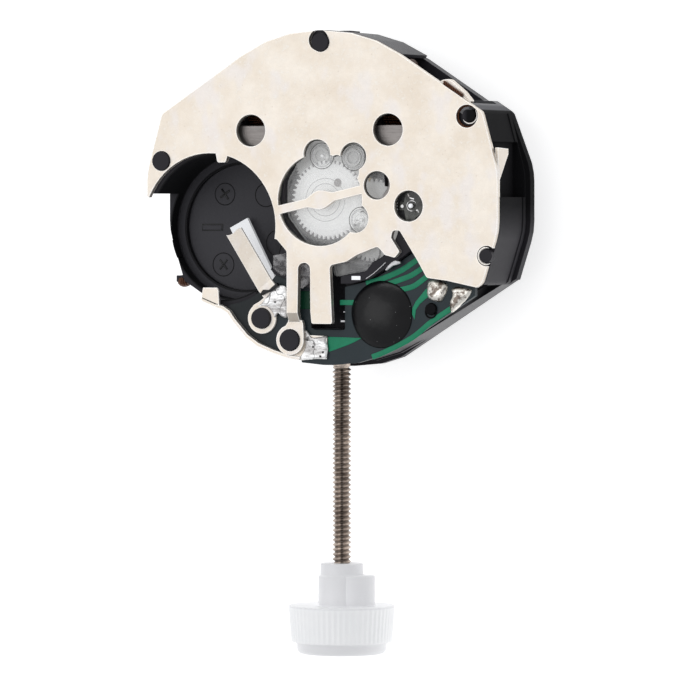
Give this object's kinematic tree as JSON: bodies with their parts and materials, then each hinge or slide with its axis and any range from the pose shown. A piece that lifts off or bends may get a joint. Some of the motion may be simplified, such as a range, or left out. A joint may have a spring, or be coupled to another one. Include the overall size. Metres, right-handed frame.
{
  "type": "quartz watch movement",
  "caption": "Three-hand quartz watch movement with geared hand train, motor coil, circuit board, open battery well, pull-out setting stem and transport knob.",
  "frame": {"origin": "on the hand axis, at the dial seat of the main plate", "axes": "+Z along the hand axis from the dial seat to the back plate; -Y along the stem to the knob; +X to the right when the back is seen with the stem pointing down"},
  "size_m": [0.0184, 0.0295, 0.0059],
  "materials": {
    "black_plastic": "moulded black, light sheen",
    "nickel_sheet": "warm nickel plated sheet, soft sheen",
    "clear_plastic": "clear moulded",
    "board_slate": "slate laminate with green tracks",
    "epoxy_black": "poured and glossy",
    "solder": "bright and uneven",
    "nickel_can": "drawn can",
    "copper_wire": "enamelled copper wire",
    "soft_iron": "brushed",
    "magnet_black": "pressed magnet",
    "white_gear": "moulded translucent white",
    "steel": "fine brushed",
    "brass": "turned",
    "stem_steel": "threaded, browned",
    "knob_white": "moulded, knurled",
    "film_white": "smooth film"
  },
  "bodies": {
    "movement": {"main_plate": "black_plastic", "back_plate": "nickel_sheet", "train_bridge": "clear_plastic", "circuit_board": "board_slate", "chip_blob": "epoxy_black", "solder_joints": "solder", "quartz_crystal": "nickel_can", "coil_winding": "copper_wire", "coil_core": "soft_iron", "stator": "soft_iron", "rotor_cap": "soft_iron", "setting_spring": "steel", "keeper_plate": "steel", "keeper_screws": "steel", "negative_contact": "nickel_sheet", "contact_insulator": "film_white", "battery_clip": "nickel_sheet"},
    "rotor": {"rotor_magnet": "magnet_black", "rotor_pinion": "white_gear"},
    "fifth_wheel_body": {"fifth_wheel": "white_gear"},
    "seconds_hand_body": {"seconds_wheel": "white_gear", "seconds_arbor": "steel"},
    "third_wheel_body": {"third_wheel": "white_gear"},
    "minute_hand_body": {"centre_wheel": "brass", "cannon_pinion": "brass"},
    "minute_wheel_body": {"minute_wheel": "white_gear"},
    "hour_hand_body": {"hour_wheel": "brass"},
    "setting_wheel_body": {"setting_wheel": "white_gear"},
    "fork": {"clutch_fork": "steel"},
    "pinion_on_square": {"sliding_pinion": "steel"},
    "stem_and_knob": {"stem": "stem_steel", "knob": "knob_white"},
    "lever": {"setting_lever": "steel"}
  },
  "joints": [
    {"name": "rotor_spin", "type": "hinge", "parent": "movement", "child": "rotor", "pos_m": [0.004, -0.0003, 0.0031], "axis": [0, 0, 1], "continuous": true},
    {"name": "fifth_spin", "type": "hinge", "parent": "movement", "child": "fifth_wheel_body", "pos_m": [0.00185, -0.00094, 0.0018], "axis": [0, 0, 1], "continuous": true},
    {"name": "seconds_spin", "type": "hinge", "parent": "movement", "child": "seconds_hand_body", "pos_m": [0, 0, 0.0029], "axis": [0, 0, 1], "continuous": true},
    {"name": "third_spin", "type": "hinge", "parent": "movement", "child": "third_wheel_body", "pos_m": [-0.00014, 0.00205, 0.0022], "axis": [0, 0, 1], "continuous": true},
    {"name": "minute_spin", "type": "hinge", "parent": "movement", "child": "minute_hand_body", "pos_m": [0, 0, 0.0013], "axis": [0, 0, 1], "continuous": true},
    {"name": "minute_wheel_spin", "type": "hinge", "parent": "movement", "child": "minute_wheel_body", "pos_m": [0.00161, -0.00068, 0.0006], "axis": [0, 0, 1], "continuous": true},
    {"name": "hour_spin", "type": "hinge", "parent": "movement", "child": "hour_hand_body", "pos_m": [0, 0, 0.0003], "axis": [0, 0, 1], "continuous": true},
    {"name": "setting_wheel_spin", "type": "hinge", "parent": "movement", "child": "setting_wheel_body", "pos_m": [0, -0.00205, 0.0007], "axis": [0, 0, 1], "continuous": true},
    {"name": "crown_pull", "type": "slide", "parent": "pinion_on_square", "child": "stem_and_knob", "axis": [0, -1, 0], "range_m": [0, 0.0011]},
    {"name": "fork_slide", "type": "slide", "parent": "movement", "child": "fork", "axis": [0, 1, 0], "range_m": [0, 0.0004]},
    {"name": "crown_turn", "type": "hinge", "parent": "fork", "child": "pinion_on_square", "pos_m": [0, -0.0035, 0.0014], "axis": [0, -1, 0], "continuous": true},
    {"name": "lever_swing", "type": "hinge", "parent": "movement", "child": "lever", "pos_m": [-0.00146, -0.00578, 0.0005], "axis": [0, 0, -1], "range_deg": [0, 27.2]}
  ],
  "couplings": [
    {"joint": "fifth_spin", "follows": "rotor_spin", "ratio": -0.2},
    {"joint": "seconds_spin", "follows": "rotor_spin", "ratio": 0.033333},
    {"joint": "third_spin", "follows": "rotor_spin", "ratio": -0.0033333},
    {"joint": "minute_spin", "follows": "rotor_spin", "ratio": 0.00055556},
    {"joint": "minute_wheel_spin", "follows": "rotor_spin", "ratio": -0.00018519},
    {"joint": "hour_spin", "follows": "rotor_spin", "ratio": 0.000046296},
    {"joint": "setting_wheel_spin", "follows": "rotor_spin", "ratio": 0.00030303},
    {"joint": "fork_slide", "follows": "crown_pull", "ratio": 0.36364},
    {"joint": "lever_swing", "follows": "crown_pull", "rad_per_m": 428.19}
  ]
}
